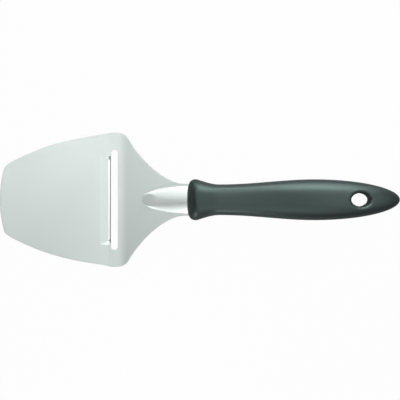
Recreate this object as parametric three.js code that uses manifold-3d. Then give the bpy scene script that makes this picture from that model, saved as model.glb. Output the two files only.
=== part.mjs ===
// Pull-type cheese slicer: a pressed steel blade with a lanced cutting lip, moulded into a plastic handle.
// Millimetres. +X runs from the blade's tip to the handle's end, +Z is up, and z = 0 is the table that the
// cutting edge and the drooping handle end rest on. The origin is under the middle of the whole length.
import * as THREE from "three";
import { mergeVertices } from "three/addons/utils/BufferGeometryUtils.js";
import Module from "manifold-3d";

const wasm = await Module();
wasm.setup();

// Steel sheet and its side profile, measured along the plan from the tip
const SHEET = 1.2; // thickness of the steel
const SHEET_OVERHANG = 2; // blank past the outline at both ends, before it is trimmed
const PLATE_RUN = 64.8; // flat front plate, tip to crease
const CREASE_RUN = 0.6; // sharp crease behind the plate
const LAND_RUN = 5.4; // gently tilted land that holds the slot
const LAND_SLOPE = 0.07; // rise per mm of the land
const BEND_RUN = 5.4; // bend from the land to the shoulder
const SHOULDER_RUN = 36; // shoulder and neck, from the bend to the handle's front
const TANG_RISE_RUN = 10; // tang still rising inside the handle
const TANG_BEND_RUN = 12; // bend that levels the tang
const TANG_SLOPE = -0.06; // fall per mm of the levelled tang

// Blade outline in plan
const TIP_RADIUS = 72; // shallow arc of the front edge
const TIP_EDGE_WIDTH = 37.2; // front edge between its rounded corners
const TIP_WIDTH = 45.8; // across the ends of the tip's corners
const TIP_CORNER_RUN = 4.8; // plan length of a tip corner
const TIP_CORNER_BULGE = 2.1; // how far a tip corner keeps going outward before it turns
const BLADE_WIDTH = 80.4; // widest, at the end of the curved sides
const SIDE_SLOPE_FRONT = 0.514; // flare of the sides behind the tip
const SIDE_SLOPE_BACK = 0.235; // flare of the sides before the shoulder
const SIDE_EASE_FRONT = 28; // how long the side keeps its front flare
const SIDE_EASE_BACK = 13.6; // how long the side keeps its back flare
const SHOULDER_CORNER_LEAD = 3.8; // the shoulder's corner starts this far before the bend
const SHOULDER_CORNER_BULGE = 0.4; // how far the corner's control stands outside the widest line
const SHOULDER_CORNER_TURN = 3.3; // where the corner turns, behind the start of the bend
const SHOULDER_WIDTH = 74.6; // across the ends of the shoulder's corners
const SWEEP_FALL_RUN = 9.2; // run in which the concave sweep keeps its first direction
const SWEEP_FALL_DROP = 16; // drop in the same stretch
const SWEEP_EASE = 10; // run in which the sweep levels into the neck
const NECK_WIDTH = 19.1; // neck where it enters the handle
const NECK_STRAIGHT = 1.8; // straight neck in front of the handle

// Cutting lip, lanced from the slot's front edge and pressed down
const SLOT_WIDTH = 4.2;
const SLOT_LENGTH = 60;
const SLOT_CORNER = 1.9;
const SLOT_SETBACK = 0.2; // slot's back edge to the start of the bend
const LIP_LENGTH = 6.4; // hinge line to cutting edge
const LIP_DROP = 1.8; // cutting edge below the sole
const LIP_ROOT_WIDTH = 54; // along the hinge line
const LIP_EDGE_WIDTH = 48; // along the cutting edge
const GRIND_WIDTH = 1.5; // ground strip on top of the edge
const GRIND_DEPTH = 0.2; // depth of the strip where the steep edge starts
const EDGE_WIDTH = 0.5; // plan width of the steep edge facet

// Pressed rib that stiffens the neck
const RIB_LENGTH = 27.6; // nose to the handle's front
const RIB_WIDTH = 16.6;
const RIB_HEIGHT = 3.5; // crown above the sheet at the handle's front
const RIB_RAMP = 8.8; // sloping facet at the nose
const RIB_RAMP_HEIGHT = 1.5; // crown at the end of that facet
const RIB_FADE = 11; // run-out inside the handle
const RIB_NOSE_POWER = 4; // flat-topped section at the nose
const RIB_POWER = 2.1; // evenly arched section at the handle
const RIB_ROUND_RUN = 16; // run in which the one section turns into the other

// Tang inside the handle
const TANG_WIDTH = 9;
const TANG_SHOULDER_RUN = 3; // neck's full width inside the handle
const TANG_TAPER_RUN = 12; // from the neck's width to the tang's
const TANG_COVER = 18; // core past the tang's end
const LOCK_HOLE = 5; // diameter of the locking holes
const LOCK_INSET = 9; // last locking hole to the tang's end
const LOCK_PITCH = 18;

// Handle, from its front
const HANDLE_LENGTH = 127.5;
const DOME_DEPTH = 5.7; // domed front, ending at the collar's crease
const WAIST_START = 18.9;
const WAIST_END = 20.5;
const FLARE_EASE = 0.75; // how long the collar's flare stays straight
const SECTION_POWER = 2.7; // flattened oval section
const HANDLE_DROOP = 16; // fall of the centreline from front to end
const NECK_DROP = 5; // neck's underside below the centreline at the handle's front
const WIDTHS = { domePower: 3.1, collar: 24.4, waist: 18.3, swell: 24.4, swellRun: 76, endPower: 2 };
const HEIGHTS = { domePower: 1.35, collar: 21, waist: 16.8, swell: 18.8, swellRun: 64, endPower: 1.7 };
const END_FLAT = 0.02; // flat left at the very end

// Hang hole through the handle's end
const HOLE_RUN = 102.8; // handle's front to the hole's middle
const HOLE_LENGTH = 12.2;
const HOLE_WIDTH = 8;
const HOLE_RIM = 2.2; // rounded rim

// Hidden core
const CORE_SETBACK = 17; // handle's front to the core
const CORE_HOLE_WALL = 5; // core's end to the hang hole
const GRIP_WALL = 2.6; // grip moulded over the core
const CLEARANCE = 0.3; // gap between pieces that touch

// Facets: numbers of steps, and places as shares or as degrees of a quarter turn
const RING_POINTS = 36;
const CURVE_STEPS = 8;
const ARCH_STEPS = 12;
const FLARE_RINGS = 5;
const BODY_RINGS = 8;
const CORE_RINGS = 8;
const DOME_DEPTHS = [0.985, 0.9, 0.75, 0.55, 0.35, 0.18, 0.06];
const END_TURNS = [0, 12, 24, 36, 48, 58, 67, 75, 81, 86];
const RIB_NOSE_TURNS = [10, 20, 30, 40, 47, 55, 65, 77, 90];
const RIB_FADE_TURNS = [30, 55, 72, 84];
const RIM_TURNS = [90, 60, 30, 0];
const WELD = 1e-4; // points closer than this are one

// Places along X
const bladeRun = PLATE_RUN + CREASE_RUN + LAND_RUN + BEND_RUN + SHOULDER_RUN;
const tipX = -(bladeRun + HANDLE_LENGTH) / 2;
const creaseX = tipX + PLATE_RUN;
const bendX = creaseX + CREASE_RUN + LAND_RUN;
const bendEndX = bendX + BEND_RUN;
const handleX = tipX + bladeRun;
const holeX = handleX + HOLE_RUN;
const coreX = handleX + CORE_SETBACK;
const coreEndX = holeX - HOLE_LENGTH / 2 - HOLE_RIM - CORE_HOLE_WALL;
const tangEndX = coreEndX - TANG_COVER;
const slotBackX = bendX - SLOT_SETBACK;
const edgeX = slotBackX - SLOT_WIDTH;
const hingeX = edgeX - LIP_LENGTH;

// Turns a closed geometry into a solid that can be joined and cut.
function solid(geometry) {
  const bare = geometry.clone();
  bare.deleteAttribute("normal");
  bare.deleteAttribute("uv");
  const merged = mergeVertices(bare, WELD);
  return new wasm.Manifold(
    new wasm.Mesh({
      numProp: 3,
      vertProperties: new Float32Array(merged.attributes.position.array),
      triVerts: new Uint32Array(merged.index.array),
    }),
  );
}

// Turns a finished solid into a named mesh.
function piece(name, body, material) {
  const cut = body.getMesh();
  const geometry = new THREE.BufferGeometry();
  geometry.setAttribute("position", new THREE.BufferAttribute(new Float32Array(cut.vertProperties), 3));
  geometry.setIndex(new THREE.BufferAttribute(new Uint32Array(cut.triVerts), 1));
  geometry.computeVertexNormals();
  const mesh = new THREE.Mesh(geometry, material);
  mesh.name = name;
  return mesh;
}

// Skins a row of rings that run along +X, each ring anticlockwise seen from +X, and caps both ends.
function loft(rings) {
  const count = rings[0].length;
  const points = rings.flat();
  const faces = [];
  for (let ring = 0; ring + 1 < rings.length; ring++) {
    for (let i = 0; i < count; i++) {
      const a = ring * count + i;
      const b = ring * count + ((i + 1) % count);
      faces.push(a, b, a + count, b, b + count, a + count);
    }
  }
  for (const [ring, first] of [[0, true], [rings.length - 1, false]]) {
    const hub = points.length;
    const middle = new THREE.Vector3();
    rings[ring].forEach((point) => middle.addScaledVector(point, 1 / count));
    points.push(middle);
    for (let i = 0; i < count; i++) {
      const a = ring * count + i;
      const b = ring * count + ((i + 1) % count);
      faces.push(hub, first ? b : a, first ? a : b);
    }
  }
  const geometry = new THREE.BufferGeometry().setFromPoints(points);
  geometry.setIndex(faces);
  return solid(geometry);
}

// Extrudes a plan shape upward from one height to another.
function upright(shape, low, high) {
  const geometry = new THREE.ExtrudeGeometry(shape, { depth: high - low, bevelEnabled: false });
  return solid(geometry.translate(0, 0, low));
}

// Extrudes a shape drawn in X and Z across the blade, half of it on each side of the middle.
function across(shape, width) {
  const geometry = new THREE.ExtrudeGeometry(shape, { depth: width, bevelEnabled: false });
  return solid(geometry.rotateX(Math.PI / 2).translate(0, width / 2, 0));
}

// Closes a half outline, drawn on the +Y side from the tip to the end, with its mirror image.
function mirrored(path) {
  const half = path.getPoints(CURVE_STEPS);
  const back = half.filter((point) => Math.abs(point.y) > WELD).reverse();
  return new THREE.Shape([...half, ...back.map((point) => new THREE.Vector2(point.x, -point.y))]);
}

// Half size of the handle at a run from its front: dome, flared collar, waist, swell and rounded end.
function handleHalf(run, size) {
  const collar = size.collar / 2;
  const waist = size.waist / 2;
  const swell = size.swell / 2;
  if (run < DOME_DEPTH) {
    const depth = (DOME_DEPTH - run) / DOME_DEPTH;
    return collar * (1 - depth ** size.domePower) ** (1 / size.domePower);
  }
  if (run < WAIST_START) {
    const s = (run - DOME_DEPTH) / (WAIST_START - DOME_DEPTH);
    return waist + (collar - waist) * (1 - s) ** 2 * (1 + FLARE_EASE * s);
  }
  if (run < WAIST_END) return waist;
  if (run < size.swellRun) {
    return waist + (swell - waist) * THREE.MathUtils.smoothstep(run, WAIST_END, size.swellRun);
  }
  const s = Math.min(1, (run - size.swellRun) / (HANDLE_LENGTH - size.swellRun));
  return swell * Math.sqrt(1 - s ** size.endPower);
}

// Runs at which the handle's sections stand: close together on the dome, the flare and the rounded end.
function handleRuns() {
  const runs = DOME_DEPTHS.map((depth) => DOME_DEPTH * (1 - depth));
  const flare = (WAIST_START - DOME_DEPTH) / FLARE_RINGS;
  for (let i = 0; i < FLARE_RINGS; i++) runs.push(DOME_DEPTH + flare * i);
  const body = (WIDTHS.swellRun - WAIST_START) / BODY_RINGS;
  for (let i = 0; i < BODY_RINGS; i++) runs.push(WAIST_START + body * i);
  for (const turn of END_TURNS) {
    const reach = Math.sin(THREE.MathUtils.degToRad(turn));
    runs.push(WIDTHS.swellRun + (HANDLE_LENGTH - WIDTHS.swellRun) * reach);
  }
  runs.push(HANDLE_LENGTH - END_FLAT);
  return runs;
}

// Fall of the handle's centreline at a run from its front.
function droop(run) {
  return HANDLE_DROOP * (run / HANDLE_LENGTH) ** 2;
}

// Height of the centreline at the front that lets the handle's lowest point touch the table.
const axisZ = Math.max(...handleRuns().map((run) => droop(run) + handleHalf(run, HEIGHTS)));
const overAll = axisZ + HEIGHTS.collar; // a height above every piece

// One flattened oval section of the handle, drawn in by an inset on every side.
function handleRing(run, inset) {
  const halfWidth = handleHalf(run, WIDTHS) - inset;
  const halfHeight = handleHalf(run, HEIGHTS) - inset;
  const ring = [];
  for (let i = 0; i < RING_POINTS; i++) {
    const turn = (i / RING_POINTS) * 2 * Math.PI;
    const y = Math.sign(Math.cos(turn)) * Math.abs(Math.cos(turn)) ** (2 / SECTION_POWER);
    const z = Math.sign(Math.sin(turn)) * Math.abs(Math.sin(turn)) ** (2 / SECTION_POWER);
    ring.push(new THREE.Vector3(handleX + run, halfWidth * y, axisZ - droop(run) + halfHeight * z));
  }
  return ring;
}

// Slope of the sheet at its stations, and facets to the next one; between two the slope changes evenly.
const neckZ = axisZ - NECK_DROP;
const soleZ = LIP_DROP;
const landRise = (CREASE_RUN / 2 + LAND_RUN) * LAND_SLOPE;
const bendRise = (BEND_RUN * LAND_SLOPE) / 2;
const shoulderSlope = (neckZ - soleZ - landRise - bendRise) / (SHOULDER_RUN + BEND_RUN / 2);
const SHEET_STATIONS = [
  [tipX, 0, 1],
  [creaseX, 0, 1],
  [creaseX + CREASE_RUN, LAND_SLOPE, 1],
  [bendX, LAND_SLOPE, CURVE_STEPS],
  [bendEndX, shoulderSlope, 1],
  [handleX + TANG_RISE_RUN, shoulderSlope, CURVE_STEPS],
  [handleX + TANG_RISE_RUN + TANG_BEND_RUN, TANG_SLOPE, 1],
  [tangEndX, TANG_SLOPE, 1],
];

// Height and slope of the sheet's underside at a place along X.
function sheetAt(x) {
  let z = soleZ;
  for (let i = 0; i + 1 < SHEET_STATIONS.length; i++) {
    const [x0, slope0] = SHEET_STATIONS[i];
    const [x1, slope1] = SHEET_STATIONS[i + 1];
    const last = i + 2 === SHEET_STATIONS.length;
    const reach = last ? x - x0 : Math.min(x, x1) - x0;
    const slope = slope0 + ((slope1 - slope0) * reach) / (x1 - x0);
    z += ((slope0 + slope) / 2) * reach;
    if (x <= x1 || last) return { z, slope };
  }
}

// Line parallel to the sheet's underside, at a distance along its normal.
function sheetLine(distance) {
  const places = [tipX - SHEET_OVERHANG];
  for (let i = 1; i + 1 < SHEET_STATIONS.length; i++) {
    const [x0, , facets] = SHEET_STATIONS[i];
    const [x1] = SHEET_STATIONS[i + 1];
    for (let k = 0; k < facets; k++) places.push(x0 + ((x1 - x0) * k) / facets);
  }
  places.push(tangEndX + SHEET_OVERHANG);
  return places.map((x) => {
    const { z, slope } = sheetAt(x);
    const normal = new THREE.Vector2(-slope, 1).normalize();
    return new THREE.Vector2(x, z).addScaledVector(normal, distance);
  });
}

// The bent sheet before it is trimmed, thicker by the same amount on both faces where it cuts room.
function bentSheet(width, grow) {
  const under = sheetLine(-grow);
  const over = sheetLine(SHEET + grow).reverse();
  return across(new THREE.Shape([...under, ...over]), width);
}

// Neck and tang in plan, from a start in front of the handle to the tang's round end.
function addTang(path, grow) {
  const neck = NECK_WIDTH / 2 + grow;
  const tang = TANG_WIDTH / 2 + grow;
  path.lineTo(handleX + TANG_SHOULDER_RUN + grow, neck);
  path.lineTo(handleX + TANG_SHOULDER_RUN + TANG_TAPER_RUN + grow, tang);
  path.lineTo(tangEndX + grow - tang, tang);
  path.absarc(tangEndX + grow - tang, 0, tang, Math.PI / 2, 0, true);
}

// Outline of the whole blade in plan.
function bladeOutline() {
  const path = new THREE.Path();
  const edge = TIP_EDGE_WIDTH / 2;
  const tipTurn = Math.asin(edge / TIP_RADIUS);
  const edgeEndX = tipX + TIP_RADIUS * (1 - Math.cos(tipTurn));
  const tip = TIP_WIDTH / 2;
  const sideX = edgeEndX + TIP_CORNER_RUN;
  const wide = BLADE_WIDTH / 2;
  const cornerX = bendX - SHOULDER_CORNER_LEAD;
  const shoulder = SHOULDER_WIDTH / 2;
  const neck = NECK_WIDTH / 2;
  const neckX = handleX - NECK_STRAIGHT;
  path.absarc(tipX + TIP_RADIUS, 0, TIP_RADIUS, Math.PI, Math.PI - tipTurn, true);
  path.quadraticCurveTo(
    edgeEndX + TIP_CORNER_BULGE * Math.tan(tipTurn),
    edge + TIP_CORNER_BULGE,
    sideX,
    tip,
  );
  path.bezierCurveTo(
    sideX + SIDE_EASE_FRONT,
    tip + SIDE_EASE_FRONT * SIDE_SLOPE_FRONT,
    cornerX - SIDE_EASE_BACK,
    wide - SIDE_EASE_BACK * SIDE_SLOPE_BACK,
    cornerX,
    wide,
  );
  path.quadraticCurveTo(bendX + SHOULDER_CORNER_TURN, wide + SHOULDER_CORNER_BULGE, bendEndX, shoulder);
  path.bezierCurveTo(
    bendEndX + SWEEP_FALL_RUN,
    shoulder - SWEEP_FALL_DROP,
    neckX - SWEEP_EASE,
    neck,
    neckX,
    neck,
  );
  addTang(path, 0);
  return mirrored(path);
}

// Neck and tang alone, larger all round, to cut the room for them.
function tangOutline(grow) {
  const path = new THREE.Path();
  path.moveTo(handleX - RIB_LENGTH, 0);
  path.lineTo(handleX - RIB_LENGTH, NECK_WIDTH / 2 + grow);
  addTang(path, grow);
  return mirrored(path);
}

// Stations of the rib: the width follows a quarter ellipse to the nose and another to the run-out. At the
// nose a straight ramp cuts the flat-topped section, which turns into an even arch towards the handle.
function ribStations(grow) {
  const length = RIB_LENGTH + grow;
  const fade = RIB_FADE + grow;
  const half = RIB_WIDTH / 2 + grow;
  const stations = RIB_NOSE_TURNS.map((turn) => {
    const angle = THREE.MathUtils.degToRad(turn);
    const run = length * (1 - Math.cos(angle));
    const climb = Math.max(0, (run - RIB_RAMP) / (length - RIB_RAMP));
    const rounding = THREE.MathUtils.smoothstep(run, 0, RIB_ROUND_RUN);
    return {
      x: handleX - length + run,
      width: half * Math.sin(angle),
      crown: THREE.MathUtils.lerp(RIB_RAMP_HEIGHT, RIB_HEIGHT, climb),
      ramp: run < RIB_RAMP ? (RIB_RAMP_HEIGHT * run) / RIB_RAMP : RIB_HEIGHT,
      power: THREE.MathUtils.lerp(RIB_NOSE_POWER, RIB_POWER, rounding),
    };
  });
  for (const turn of RIB_FADE_TURNS) {
    const angle = THREE.MathUtils.degToRad(turn);
    stations.push({
      x: handleX + fade * Math.sin(angle),
      width: half * Math.cos(angle),
      crown: RIB_HEIGHT * Math.cos(angle),
      ramp: RIB_HEIGHT,
      power: RIB_POWER,
    });
  }
  return stations;
}

// Loft under the rib's skin, from a height above the sheet's underside up to the rib's rise.
function ribLoft(stations, height, depth) {
  return loft(
    stations.map(({ x, width, crown, ramp, power }) => {
      const base = sheetAt(x).z + height;
      const ring = [];
      for (let i = 0; i <= ARCH_STEPS; i++) {
        const share = Math.cos((Math.PI * i) / ARCH_STEPS);
        const rise = Math.min(ramp, crown * (1 - Math.abs(share) ** power));
        ring.push(new THREE.Vector3(x, width * share, base + rise));
      }
      ring.push(new THREE.Vector3(x, -width, base - depth));
      ring.push(new THREE.Vector3(x, width, base - depth));
      return ring;
    }),
  );
}

// Adds the pressed rib to a sheet: its outside is joined on, and its hollow underside is cut away.
function ribbed(sheet, grow) {
  const topHeight = SHEET * Math.hypot(1, shoulderSlope) + grow;
  const outside = ribLoft(ribStations(grow), topHeight, SHEET / 2);
  const hollow = ribLoft(ribStations(-grow), -grow, SHEET);
  return sheet.add(outside).subtract(hollow);
}

// Locking holes through the tang, narrower where they are to clear the core's posts.
function lockHoles(grow) {
  const holes = [0, 1].map((i) => {
    const x = tangEndX - LOCK_INSET - LOCK_PITCH * i;
    const circle = new THREE.Shape().absarc(x, 0, LOCK_HOLE / 2 - grow, 0, 2 * Math.PI);
    return upright(circle, 0, overAll);
  });
  return holes[0].add(holes[1]);
}

// Slicing slot behind the lip, with rounded corners.
function slot() {
  const half = SLOT_LENGTH / 2;
  const path = new THREE.Path();
  path.moveTo(edgeX, 0);
  path.lineTo(edgeX, half - SLOT_CORNER);
  path.absarc(edgeX + SLOT_CORNER, half - SLOT_CORNER, SLOT_CORNER, Math.PI, Math.PI / 2, true);
  path.lineTo(slotBackX - SLOT_CORNER, half);
  path.absarc(slotBackX - SLOT_CORNER, half - SLOT_CORNER, SLOT_CORNER, Math.PI / 2, 0, true);
  path.lineTo(slotBackX, 0);
  return upright(mirrored(path), 0, overAll);
}

// Window that the lip leaves in the flat sheet.
function lipWindow() {
  const half = LIP_ROOT_WIDTH / 2;
  const path = new THREE.Path();
  path.moveTo(hingeX, 0);
  path.lineTo(hingeX, half);
  path.lineTo(edgeX, half);
  path.lineTo(edgeX, 0);
  return upright(mirrored(path), 0, overAll);
}

// Middle of the lip: it falls from the hinge line to the cutting edge, which is ground from the top in a
// wide shallow strip and a narrow steep one.
function lipBlade() {
  const topZ = soleZ + SHEET;
  const fall = LIP_DROP / LIP_LENGTH;
  const grindX = edgeX - GRIND_WIDTH;
  const steepX = edgeX - EDGE_WIDTH;
  const section = new THREE.Shape();
  section.moveTo(hingeX, soleZ);
  section.lineTo(edgeX, soleZ - LIP_DROP);
  section.lineTo(steepX, topZ - fall * (steepX - hingeX) - GRIND_DEPTH);
  section.lineTo(grindX, topZ - fall * (grindX - hingeX));
  section.lineTo(hingeX, topZ);
  const path = new THREE.Path();
  path.moveTo(hingeX, 0);
  path.lineTo(hingeX, LIP_ROOT_WIDTH / 2);
  path.lineTo(edgeX, LIP_EDGE_WIDTH / 2);
  path.lineTo(edgeX, 0);
  return across(section, LIP_ROOT_WIDTH).intersect(upright(mirrored(path), -SHEET, overAll));
}

// Triangular gusset at one end of the lip, where the sheet stretches from the plate down to the edge.
function lipGusset(side) {
  const root = LIP_ROOT_WIDTH / 2;
  const edge = LIP_EDGE_WIDTH / 2;
  const corners = [[hingeX, side * root], [edgeX, side * root], [edgeX, side * edge]];
  const shape = new THREE.Shape(corners.map(([x, y]) => new THREE.Vector2(x, y)));
  const geometry = new THREE.ExtrudeGeometry(shape, { depth: SHEET, bevelEnabled: false });
  const position = geometry.attributes.position;
  for (let i = 0; i < position.count; i++) {
    const fall = (LIP_DROP * (root - Math.abs(position.getY(i)))) / (root - edge);
    position.setZ(i, position.getZ(i) + soleZ - fall);
  }
  return solid(geometry);
}

// Whole blade: the bent and trimmed sheet with its rib, slot, lip and locking holes.
function bladeSolid() {
  const trimmed = bentSheet(BLADE_WIDTH * 2, 0).intersect(upright(bladeOutline(), -SHEET, overAll));
  return ribbed(trimmed, 0)
    .subtract(lockHoles(0))
    .subtract(slot())
    .subtract(lipWindow())
    .add(lipBlade())
    .add(lipGusset(1))
    .add(lipGusset(-1));
}

// Room that the neck and tang take inside the handle's mouldings.
function tangRoom() {
  const sheet = bentSheet(NECK_WIDTH * 2, CLEARANCE);
  const trimmed = sheet.intersect(upright(tangOutline(CLEARANCE), -SHEET, overAll));
  return ribbed(trimmed, CLEARANCE).subtract(lockHoles(CLEARANCE));
}

// Core that grips the tang; it follows the handle's form inside the grip's wall.
function coreLoft(grow) {
  const start = coreX - handleX - grow;
  const end = coreEndX - handleX + grow;
  const rings = [];
  for (let i = 0; i <= CORE_RINGS; i++) {
    rings.push(handleRing(start + ((end - start) * i) / CORE_RINGS, GRIP_WALL - grow));
  }
  return loft(rings);
}

// Hang hole: an oval throat square to the handle's slope, with a rounded rim above and below.
function hangHole() {
  const slope = Math.atan((2 * HANDLE_DROOP * HOLE_RUN) / HANDLE_LENGTH ** 2);
  const middleZ = axisZ - droop(HOLE_RUN);
  const half = handleHalf(HOLE_RUN, HEIGHTS);
  const levels = [];
  for (const turn of RIM_TURNS) {
    const angle = THREE.MathUtils.degToRad(turn);
    levels.push([half - HOLE_RIM * (1 - Math.sin(angle)), HOLE_RIM * (1 - Math.cos(angle))]);
  }
  levels.unshift([half + HOLE_RIM, HOLE_RIM]);
  const ways = [...levels.map(([up, flare]) => [-up, flare]), ...levels.reverse()];
  const rings = ways.map(([along, flare]) => {
    const ring = [];
    for (let i = 0; i < RING_POINTS; i++) {
      const turn = (i / RING_POINTS) * 2 * Math.PI;
      const y = (HOLE_WIDTH / 2 + flare) * Math.cos(turn);
      ring.push(new THREE.Vector3(along, y, (HOLE_LENGTH / 2 + flare) * Math.sin(turn)));
    }
    return ring;
  });
  const stand = new THREE.Matrix4().makeRotationY(-Math.PI / 2 + slope);
  stand.setPosition(holeX, 0, middleZ);
  return loft(rings.map((ring) => ring.map((point) => point.applyMatrix4(stand))));
}

// Outer moulding of the handle, hollow for the core and the neck.
function gripSolid() {
  const outer = loft(handleRuns().map((run) => handleRing(run, 0)));
  return outer.subtract(coreLoft(CLEARANCE)).subtract(tangRoom()).subtract(hangHole());
}

const steel = new THREE.MeshStandardMaterial({ color: 0xc8d1ce, roughness: 0.32, metalness: 1 });
const corePlastic = new THREE.MeshStandardMaterial({ color: 0x39423f, roughness: 0.6, metalness: 0 });
const gripPlastic = new THREE.MeshStandardMaterial({ color: 0x4a5553, roughness: 0.5, metalness: 0 });

const slicer = new THREE.Group();
slicer.add(piece("blade", bladeSolid(), steel));
slicer.add(piece("handle_core", coreLoft(0).subtract(tangRoom()), corePlastic));
slicer.add(piece("handle_grip", gripSolid(), gripPlastic));

export default slicer;
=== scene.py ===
"""Pull-type cheese slicer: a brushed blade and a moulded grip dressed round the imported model.

Sizes of the slicer are millimetres in the model's own frame: +X runs from the blade's tip to the handle's
end, +Z is up and z = 0 is the table. Its meshes are scaled to metres when they are finished. Sizes of the
studio are metres.
"""

import logging
import math
from dataclasses import dataclass, field
from enum import Enum
from typing import Any

import bmesh
import bpy
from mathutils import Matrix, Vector
from mathutils.geometry import interpolate_bezier


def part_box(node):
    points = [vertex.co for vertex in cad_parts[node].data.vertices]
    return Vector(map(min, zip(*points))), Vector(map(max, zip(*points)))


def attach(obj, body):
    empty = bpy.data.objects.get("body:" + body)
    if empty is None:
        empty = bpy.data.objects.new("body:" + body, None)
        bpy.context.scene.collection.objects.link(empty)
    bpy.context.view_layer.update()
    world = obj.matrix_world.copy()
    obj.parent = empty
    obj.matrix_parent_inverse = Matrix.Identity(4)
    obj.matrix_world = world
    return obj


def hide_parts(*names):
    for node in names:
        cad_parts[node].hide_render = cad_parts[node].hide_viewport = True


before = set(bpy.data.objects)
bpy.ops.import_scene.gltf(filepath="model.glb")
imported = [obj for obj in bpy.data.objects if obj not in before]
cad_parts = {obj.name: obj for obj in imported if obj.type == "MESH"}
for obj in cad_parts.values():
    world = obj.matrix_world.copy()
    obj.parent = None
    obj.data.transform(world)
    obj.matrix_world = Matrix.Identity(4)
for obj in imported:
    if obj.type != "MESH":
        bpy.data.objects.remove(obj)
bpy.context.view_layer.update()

MM = 0.001
LOG = logging.getLogger("slicer")
NEAR = 1e-4  # millimetres within which two places count as one
TINY = 1e-9  # keeps a division off zero and a comparison off rounding errors
SMOOTH_DEG = 60.0  # edges of the grip and the floor that turn more than this stay sharp


class Slot(Enum):
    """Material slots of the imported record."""

    STEEL = "blade_steel"
    GRIP = "grip_plastic"


class Node(Enum):
    """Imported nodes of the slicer."""

    BLADE = "blade"
    CORE = "handle_core"
    GRIP = "handle_grip"


class SteelFinish(Enum):
    """Finishes of the blade, by the number of their material on its mesh."""

    BRUSHED = 0
    GROUND = 1
    BURNISHED = 2


def linear(code: str) -> tuple[float, float, float, float]:
    """Turns an sRGB hex colour into linear values.

    Args:
        code: Colour as six hex digits with a leading hash.

    Returns:
        Red, green, blue and a full alpha for a shader socket.
    """
    channels = [int(code[i : i + 2], 16) / 255 for i in (1, 3, 5)]
    light = [c / 12.92 if c <= 0.04045 else ((c + 0.055) / 1.055) ** 2.4 for c in channels]
    return (*light, 1.0)


def add_node(
    tree: bpy.types.NodeTree, kind: str, inputs: dict[Any, Any] | None = None, **settings: Any
) -> bpy.types.Node:
    """Adds a shader node, sets it up and fills or links its inputs.

    Args:
        tree: Node tree that takes the node.
        kind: Blender's name of the node type.
        inputs: Input name or number to a value, or to the socket that feeds it.
        settings: The node's own settings.

    Returns:
        The new node.
    """
    node = tree.nodes.new(kind)
    for name, value in settings.items():
        setattr(node, name, value)
    for name, value in (inputs or {}).items():
        if isinstance(value, bpy.types.NodeSocket):
            tree.links.new(value, node.inputs[name])
        else:
            node.inputs[name].default_value = value
    return node


def new_material(name: str) -> tuple[bpy.types.Material, bpy.types.NodeTree]:
    """Makes an empty node material.

    Args:
        name: Name of the material.

    Returns:
        The material and its node tree, which has nothing in it yet.
    """
    material = bpy.data.materials.new(name)
    material.use_nodes = True
    material.node_tree.nodes.clear()
    return material, material.node_tree


@dataclass(frozen=True)
class BrushedSteel:
    """Stainless steel sheet, belt brushed along the blade: a soft mirror that smears light across the lines.

    A lower roughness makes the finer finish of a ground strip, or of steel that the press has burnished.
    """

    name: str = "brushed_stainless"
    colour: str = "#DAE2DF"
    roughness: float = 0.5
    smear: float = 0.8
    brush_map: str = "brush"
    line_mm: float = 0.35  # real lines are about 0.05 mm, drawn coarser so that they show
    line_length_mm: float = 22.0
    bump_mm: float = 0.004
    cloud_mm: float = 30.0
    noise_low: float = 0.6  # the lines and clouds together mostly stay between these two
    noise_high: float = 1.4
    smoother: float = 0.03
    rougher: float = 0.05

    def material(self) -> bpy.types.Material:
        """Builds the steel's node material.

        Returns:
            The material, under the finish's name.
        """
        material, tree = new_material(self.name)
        place = add_node(tree, "ShaderNodeTexCoord").outputs["Object"]
        along = 1 / (self.line_length_mm * MM)
        cross = 1 / (self.line_mm * MM)
        stretch = add_node(tree, "ShaderNodeMapping", {"Vector": place, "Scale": (along, cross, cross)})
        lines = add_node(
            tree,
            "ShaderNodeTexNoise",
            {"Vector": stretch.outputs[0], "Scale": 1.0, "Detail": 3.0, "Roughness": 0.6},
        )
        clouds = add_node(
            tree, "ShaderNodeTexNoise", {"Vector": place, "Scale": 1 / (self.cloud_mm * MM), "Detail": 2.0}
        )
        both = add_node(
            tree, "ShaderNodeMath", {0: lines.outputs[0], 1: clouds.outputs[0]}, operation="ADD"
        )
        rough = add_node(
            tree,
            "ShaderNodeMapRange",
            {
                "Value": both.outputs[0],
                1: self.noise_low,
                2: self.noise_high,
                3: self.roughness - self.smoother,
                4: self.roughness + self.rougher,
            },
        )
        bump = add_node(
            tree,
            "ShaderNodeBump",
            {"Strength": 1.0, "Distance": self.bump_mm * MM, "Height": lines.outputs[0]},
        )
        across = add_node(tree, "ShaderNodeTangent", direction_type="UV_MAP", uv_map=self.brush_map)
        shader = add_node(
            tree,
            "ShaderNodeBsdfPrincipled",
            {
                "Base Color": linear(self.colour),
                "Metallic": 1.0,
                "Roughness": rough.outputs[0],
                "Anisotropic": self.smear,
                "Tangent": across.outputs[0],
                "Normal": bump.outputs[0],
            },
        )
        add_node(tree, "ShaderNodeOutputMaterial", {"Surface": shader.outputs[0]})
        return material


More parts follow.
